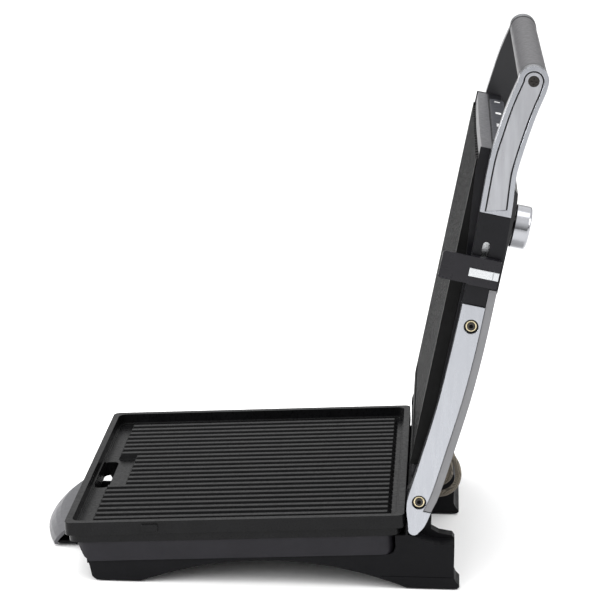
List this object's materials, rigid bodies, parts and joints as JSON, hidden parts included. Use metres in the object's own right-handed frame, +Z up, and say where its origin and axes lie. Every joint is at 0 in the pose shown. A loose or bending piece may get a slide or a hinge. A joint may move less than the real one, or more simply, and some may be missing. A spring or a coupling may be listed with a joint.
{
  "type": "panini press",
  "caption": "Ribbed contact grill standing open: floating lid on two steel arms, tilted lower plate with drain slot, slide-out drip tray, sliding height clip.",
  "frame": {"origin": "on the table, under the middle of the open press", "axes": "+Z up; the drip tray and the user are at -Y, the arms lean back towards +Y; +X is the user's right, with the height clip"},
  "size_m": [0.2708, 0.3767, 0.388],
  "materials": {
    "nonstick_cast": "black non-stick coating on cast aluminium, satin",
    "nonstick_upper": "dark grey non-stick coating on cast aluminium, satin",
    "housing_grey": "dark grey fine-textured plastic",
    "base_black": "black fine-textured plastic",
    "arm_metal": "brushed steel, bright edge",
    "inlay_metal": "satin steel inlay",
    "liner_grey": "dark grey paint, satin",
    "handle_grey": "warm grey paint, satin",
    "strip_grey": "light grey paint, satin",
    "trim_grey": "mid grey paint, satin",
    "lid_black": "black plastic, soft gloss",
    "panel_dark": "dark grey printed panel",
    "icon_white": "white print",
    "cover_steel": "brushed steel sheet",
    "knob_chrome": "polished",
    "bush_brass": "nickel-plated brass, satin",
    "screw_steel": "dark plated steel",
    "heater_steel": "heat-tinted steel tube",
    "reflector_alu": "bright rolled sheet",
    "rubber_black": "matt",
    "braid_brown": "glass-fibre braid",
    "lens_red": "clear red moulded lens",
    "clip_black": "black plastic, soft gloss"
  },
  "bodies": {
    "base": {"lower_plate": "nonstick_cast", "lower_heater": "heater_steel", "lower_reflector": "reflector_alu", "lower_housing": "housing_grey", "underbase": "base_black", "terminal_cover": "base_black", "foot_pads": "rubber_black", "base_screws": "screw_steel", "power_gland": "rubber_black", "harness_gland": "rubber_black", "hinge_bushes": "bush_brass", "hinge_screws": "screw_steel", "hinge_washers": "screw_steel", "hinge_rings": "rubber_black", "harness_outer": "braid_brown", "harness_inner": "braid_brown"},
    "tray": {"drip_tray": "base_black", "drip_tray_grip": "trim_grey"},
    "arms": {"arm_liner_right": "liner_grey", "arm_liner_left": "liner_grey", "arm_lower_right": "arm_metal", "arm_lower_left": "arm_metal", "arm_rail_right": "lid_black", "arm_rail_left": "lid_black", "arm_upper_right": "arm_metal", "arm_upper_left": "arm_metal", "arm_inlay_right": "inlay_metal", "arm_inlay_left": "inlay_metal", "arm_strip_right": "strip_grey", "arm_strip_left": "strip_grey", "rail_strip": "cover_steel", "tie_bar": "liner_grey", "harness_saddle": "rubber_black", "handle_bar": "handle_grey", "handle_screws": "screw_steel", "harness_tail_outer": "braid_brown", "harness_tail_inner": "braid_brown"},
    "clip": {"height_clip": "clip_black", "height_clip_accent": "cover_steel"},
    "lid": {"upper_plate": "nonstick_upper", "upper_heater": "heater_steel", "upper_reflector": "reflector_alu", "lid_shell": "lid_black", "lid_hem": "lid_black", "lid_cover": "cover_steel", "lid_trim": "trim_grey", "front_panel": "panel_dark", "panel_icons": "icon_white", "control_housing": "lid_black", "indicator_lenses": "lens_red", "thermostat": "heater_steel", "dial_bezel": "lid_black", "pivot_bushes": "bush_brass", "pivot_screws": "screw_steel", "pivot_washers": "screw_steel", "pivot_rings": "rubber_black", "lid_gland": "rubber_black"},
    "dial": {"knob": "knob_chrome", "knob_shaft": "screw_steel"}
  },
  "joints": [
    {"name": "lid_hinge", "type": "hinge", "parent": "base", "child": "arms", "pos_m": [-0.00245, 0.10373, 0.0683], "axis": [-1, 0, 0], "range_deg": [-103.2, 0], "deforming": ["harness_outer", "harness_inner"]},
    {"name": "lid_tilt", "type": "hinge", "parent": "arms", "child": "lid", "pos_m": [-0.00245, 0.13848, 0.20135], "axis": [1, 0, 0], "range_deg": [0, 6], "deforming": ["harness_tail_outer", "harness_tail_inner"]},
    {"name": "clip_slide", "type": "slide", "parent": "arms", "child": "clip", "axis": [0, 0.1874, 0.9823], "range_m": [0, 0.018]},
    {"name": "dial_turn", "type": "hinge", "parent": "lid", "child": "dial", "pos_m": [-0.00245, 0.16629, 0.24572], "axis": [0, 0.9823, -0.1874], "range_deg": [0, 270]},
    {"name": "tray_slide", "type": "slide", "parent": "base", "child": "tray", "axis": [0, -1, 0], "range_m": [0, 0.08]}
  ]
}
